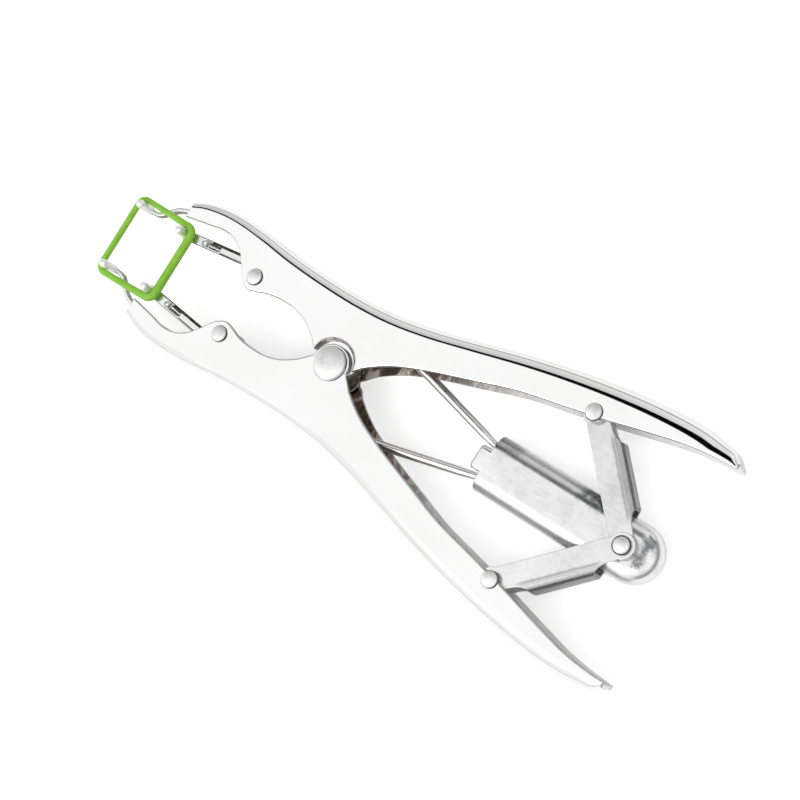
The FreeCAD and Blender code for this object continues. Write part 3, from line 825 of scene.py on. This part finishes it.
def rivet(name, place, shank, radius, top, under, low, crown, body, node, first=10):
    profile = head_profile(radius, top, under, crown)
    profile += [(shank, under), (shank, -under)]
    foot = [(radius - 0.1, -under), (radius, -under - 0.1), (radius, low + 0.4), (radius - 0.12, low + 0.15),
            (radius - 0.4, low), (radius * 0.5, low), (radius * 0.03, low)]
    obj = turned(name, place, profile + foot, body, RIVET, range(first, 16))
    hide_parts(node)


GUIDE = (40.2, 11.2)
LINK_PIVOT = (-85.2, 30.8)
REST = -CHANNEL_HALF - 1.2
rivet("main_rivet_turned", (0, 0), 3.0, 5.8, CHANNEL_HALF + 1.7, CHANNEL_HALF + 0.1, REST, 0.5, "pivot", "main_rivet", 12)
for side, sign in (("left", 1), ("right", -1)):
    for label, spot, top in (("guide", GUIDE, 1.3), ("link", LINK_PIVOT, 1.4)):
        rivet(side + "_" + label + "_rivet_turned", (spot[0], sign * spot[1]), 1.6, 2.8, CHANNEL_HALF + top,
              CHANNEL_HALF, REST, 0.35, side + "_arm_body", side + "_" + label + "_rivet")


TAIL_TOP = 5.6 + 0.1
tail_profile = [(2.75 * f, TAIL_TOP + 1.5 - 0.45 * f ** 2.4) for f in (0.03, 0.25, 0.5, 0.68, 0.8, 0.9)]
tail_profile += [(2.72, TAIL_TOP + 0.9), (2.75, TAIL_TOP + 0.6), (2.7, TAIL_TOP + 0.36), (3.15, TAIL_TOP + 0.35),
                 (3.27, TAIL_TOP + 0.28), (3.3, TAIL_TOP + 0.12), (3.25, TAIL_TOP), (1.6, TAIL_TOP),
                 (1.6, -TAIL_TOP), (3.2, -TAIL_TOP), (3.3, -TAIL_TOP - 0.1), (3.3, -TAIL_TOP - 0.8),
                 (3.15, -TAIL_TOP - 1.0), (0.1, -TAIL_TOP - 1.0)]
# The tail head's side and its ledge are painted near black as shade
tail = turned("tail_rivet_turned", (TAIL_X, 0), tail_profile, "carriage", RIVET, (6, 7, 8, 10, 11))
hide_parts("tail_rivet")


# Stretched ring, in pieces that follow the prongs
RING_FRONT = (1.15, 1.15)
RING_REAR = (1.54, 1.46)
RING_SIDE_ENDS = {"left": ((1.14, 1.14), (1.32, 1.3)), "right": ((1.0, 1.02), (1.26, 1.25))}
PRONG_FIT = PRONG_R + 0.05


def blend_radii(a, b, t):
    return tuple(p + (q - p) * t for p, q in zip(a, b))


def rubber(name, verts, faces, body):
    obj = add_mesh(name, verts, faces, body, RUBBER)
    obj.data.set_sharp_from_angle(angle=math.radians(50))
    return obj


def ring_side(name, start, end, a, b, body):
    count = 16
    pts, radii = [], []
    for i in range(count + 1):
        t = i / count
        pts.append((start[0] + (end[0] - start[0]) * t, start[1] + (end[1] - start[1]) * t, RING_Z))
        radii.append(blend_radii(a, b, t))
    verts, faces = tube(pts, radii)
    obj = rubber(name, verts, faces, body)
    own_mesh(obj)


def ring_corner(name, centre, angle_0, angle_1, a, b, body):
    count = 20
    pts, radii = [], []
    for i in range(count + 1):
        t = i / count
        rw, rh = blend_radii(a, b, t)
        ang = math.radians(angle_0 + (angle_1 - angle_0) * t)
        reach = PRONG_FIT + rw
        pts.append((centre[0] + reach * math.cos(ang), centre[1] + reach * math.sin(ang), RING_Z))
        radii.append((rw, rh))
    verts, faces = tube(pts, radii)
    rubber(name, verts, faces, body)


slant = math.degrees(math.atan2(FIXED[1] - MOVING[1], FIXED[0] - MOVING[0]))
for label, sign, arm_body, rod_body in (("left", 1, "left_arm_body", "left_rod_body"),
                                        ("right", -1, "right_arm_body", "right_rod_body")):
    lateral = 90 + slant
    front_corner = (FIXED[0], sign * FIXED[1])
    rear_corner = (MOVING[0], sign * MOVING[1])
    near, far = RING_SIDE_ENDS[label]
    ring_corner("ring_front_corner_" + label, front_corner, 0, sign * lateral, RING_FRONT, near, arm_body)
    ring_corner("ring_rear_corner_" + label, rear_corner, sign * lateral, sign * 180, far, RING_REAR, rod_body)
    out = Vector((math.cos(math.radians(lateral)), sign * math.sin(math.radians(lateral))))
    start = Vector(front_corner) + out * (PRONG_FIT + near[0])
    end = Vector(rear_corner) + out * (PRONG_FIT + far[0])
    ring_side("ring_side_" + label, start, end, near, far, arm_body)
ring_side("ring_front", (FIXED[0] + PRONG_FIT + RING_FRONT[0], FIXED[1]),
          (FIXED[0] + PRONG_FIT + RING_FRONT[0], -FIXED[1]), RING_FRONT, RING_FRONT, "pivot")
ring_side("ring_rear", (MOVING[0] - PRONG_FIT - RING_REAR[0], MOVING[1]),
          (MOVING[0] - PRONG_FIT - RING_REAR[0], -MOVING[1]), RING_REAR, RING_REAR, "carriage")
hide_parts("rubber_ring")


# Floor, light and camera
def make_floor():
    size = 3.0
    mesh = bpy.data.meshes.new("floor")
    mesh.from_pydata([(-size, -size, 0), (size, -size, 0), (size, size, 0), (-size, size, 0)], [], [(0, 1, 2, 3)])
    obj = bpy.data.objects.new("floor", mesh)
    bpy.context.scene.collection.objects.link(obj)
    material = bpy.data.materials.new("floor_white")
    material.use_nodes = True
    nodes, links = material.node_tree.nodes, material.node_tree.links
    bsdf = nodes["Principled BSDF"]
    bsdf.inputs["Base Color"].default_value = (0.93, 0.93, 0.93, 1)
    bsdf.inputs["Roughness"].default_value = 0.9
    bsdf.inputs["Specular IOR Level"].default_value = 0.1
    glow = nodes.new("ShaderNodeEmission")
    glow.inputs["Strength"].default_value = 0.5
    mirrored = nodes.new("ShaderNodeEmission")
    mirrored.inputs["Strength"].default_value = 0.14
    path = nodes.new("ShaderNodeLightPath")
    black = nodes.new("ShaderNodeEmission")
    black.inputs["Strength"].default_value = 0.0
    pick = nodes.new("ShaderNodeMixShader")
    links.new(path.outputs["Is Glossy Ray"], pick.inputs[0])
    links.new(black.outputs[0], pick.inputs[1])
    links.new(mirrored.outputs[0], pick.inputs[2])
    seen = nodes.new("ShaderNodeMixShader")
    links.new(path.outputs["Is Camera Ray"], seen.inputs[0])
    links.new(pick.outputs[0], seen.inputs[1])
    links.new(glow.outputs[0], seen.inputs[2])
    add = nodes.new("ShaderNodeAddShader")
    links.new(bsdf.outputs[0], add.inputs[0])
    links.new(seen.outputs[0], add.inputs[1])
    links.new(add.outputs[0], nodes["Material Output"].inputs["Surface"])
    mesh.materials.append(material)


def make_world():
    """An even white surround with a soft darker side, as a studio has beyond its lamps."""
    world = bpy.data.worlds.new("studio")
    bpy.context.scene.world = world
    world.use_nodes = True
    nodes, links = world.node_tree.nodes, world.node_tree.links
    back = nodes["Background"]
    coords = nodes.new("ShaderNodeTexCoord")
    split = nodes.new("ShaderNodeSeparateXYZ")
    links.new(coords.outputs["Generated"], split.inputs[0])

    def maths(kind, a, b=0.0, c=None):
        m = nodes.new("ShaderNodeMath")
        m.operation = kind
        for i, value in enumerate((a, b) if c is None else (a, b, c)):
            if isinstance(value, (int, float)):
                m.inputs[i].default_value = value
            else:
                links.new(value, m.inputs[i])
        return m.outputs[0]

    def soft(value, a, b, c, d):
        """1 between b and c, falling to 0 at a and d."""
        parts = []
        for lo, hi in ((a, b), (d, c)):
            r = nodes.new("ShaderNodeMapRange")
            r.interpolation_type = "SMOOTHSTEP"
            r.inputs["From Min"].default_value = lo
            r.inputs["From Max"].default_value = hi
            links.new(value, r.inputs["Value"])
            parts.append(r.outputs["Result"])
        return maths("MULTIPLY", parts[0], parts[1])

    def toward(degrees):
        a = math.radians(degrees)
        flat = maths("SQRT", maths("ADD", maths("MULTIPLY", split.outputs["X"], split.outputs["X"]),
                                   maths("MULTIPLY", split.outputs["Y"], split.outputs["Y"])))
        dot = maths("ADD", maths("MULTIPLY", split.outputs["X"], math.cos(a)),
                    maths("MULTIPLY", split.outputs["Y"], math.sin(a)))
        return maths("DIVIDE", dot, maths("MAXIMUM", flat, 0.001))

    def step(value, low, high):
        r = nodes.new("ShaderNodeMapRange")
        r.interpolation_type = "SMOOTHSTEP"
        r.inputs["From Min"].default_value = min(low, high)
        r.inputs["From Max"].default_value = max(low, high)
        r.inputs["To Min"].default_value = 0.0 if low < high else 1.0
        r.inputs["To Max"].default_value = 1.0 if low < high else 0.0
        links.new(value, r.inputs["Value"])
        return r.outputs["Result"]

    forward, height = split.outputs["X"], split.outputs["Z"]
    right = maths("MULTIPLY", split.outputs["Y"], -1.0)
    # A slit between two panels to the right, wider to the rear
    reach = maths("MINIMUM", maths("MAXIMUM", maths("SUBTRACT", 0.974, maths("MULTIPLY", forward, 1.4)), 0.32), 0.66)
    past = maths("SUBTRACT", right, reach)
    slit = maths("MULTIPLY", step(right, 0.10, 0.14), maths("SUBTRACT", 1.0, step(past, -0.03, 0.03)))
    slit = maths("MULTIPLY", slit, maths("MULTIPLY", step(forward, 0.06, 0.16), step(height, 0.3, 0.45)))
    # The right-hand panel is dimmer than the top one
    panel = maths("MULTIPLY", step(past, -0.03, 0.05), maths("SUBTRACT", 0.42, maths("MULTIPLY", step(right, 0.4, 0.95), 0.2)))
    panel = maths("MULTIPLY", panel, step(forward, 0.0, 0.2))
    # The room behind the camera, and the gap above the floor all round
    room = maths("MULTIPLY", soft(height, 0.0, 0.12, 0.4, 0.62), soft(toward(180), 0.1, 0.65, 2.0, 3.0))
    gap = maths("SUBTRACT", 1.0, step(height, 0.08, 0.26))
    gap = maths("MULTIPLY", gap, maths("ADD", 0.3, maths("MULTIPLY", step(right, 0.3, 0.8), 0.4)))
    # Two soft bars to the right of the camera, which the links' bends show as stripes
    behind = maths("MULTIPLY", maths("SUBTRACT", 1.0, step(forward, -0.12, 0.08)), step(height, 0.02, 0.2))
    bars = maths("MAXIMUM", maths("MULTIPLY", soft(right, 0.3, 0.42, 0.5, 0.58), 0.5),
                 maths("MULTIPLY", soft(right, 0.66, 0.76, 0.86, 0.95), 0.7))
    bars = maths("MULTIPLY", bars, behind)
    left = maths("MULTIPLY", step(right, -0.2, -0.4), maths("MULTIPLY", step(height, 0.9, 0.75), 0.09))
    shade = maths("MAXIMUM", maths("MULTIPLY", slit, 1.0), panel)
    shade = maths("MAXIMUM", shade, maths("MAXIMUM", bars, left))
    shade = maths("MAXIMUM", shade, maths("MAXIMUM", maths("MULTIPLY", room, 0.72), gap))
    level = maths("SUBTRACT", 1.0, shade)
    path = nodes.new("ShaderNodeLightPath")
    view = nodes.new("ShaderNodeMix")
    view.data_type = "FLOAT"
    links.new(path.outputs["Is Camera Ray"], view.inputs[0])
    links.new(level, view.inputs[2])
    view.inputs[3].default_value = 1.0
    links.new(view.outputs[0], back.inputs["Strength"])
    back.inputs["Color"].default_value = (1, 1, 1, 1)


def area_lamp(name, place, target, size, power):
    data = bpy.data.lights.new(name, "AREA")
    data.shape = "DISK"
    data.size = size
    data.energy = power
    obj = bpy.data.objects.new(name, data)
    obj.location = place
    obj.rotation_euler = (Vector(target) - Vector(place)).to_track_quat("-Z", "Y").to_euler()
    bpy.context.scene.collection.objects.link(obj)


def make_camera():
    tilt = math.radians(24.0)
    distance = 672.0
    place = Vector((-distance * math.sin(tilt), 0.0, distance * math.cos(tilt) + CHANNEL_HALF))
    target = Vector((-24.70733983, -1.97020514, 0.0))
    roll = -0.9787462
    back = (place - target).normalized()
    right = Vector((math.cos(roll), math.sin(roll), 0)).cross(back).normalized()
    up = back.cross(right)
    data = bpy.data.cameras.new("camera")
    data.sensor_width = 36.0
    data.lens = 2050.0 / 800.0 * 36.0
    data.clip_start = 0.01
    obj = bpy.data.objects.new("camera", data)
    rotation = Matrix((right, up, back)).transposed()
    obj.matrix_world = Matrix.Translation((place.x * MM, place.y * MM, (place.z + MID_Z) * MM)) @ rotation.to_4x4()
    bpy.context.scene.collection.objects.link(obj)
    bpy.context.scene.camera = obj


make_floor()
make_world()
area_lamp("key", (0.15, 0.6, 0.85), (0, 0, 0), 0.6, 2.2)
make_camera()
bpy.context.scene.view_settings.view_transform = "Standard"
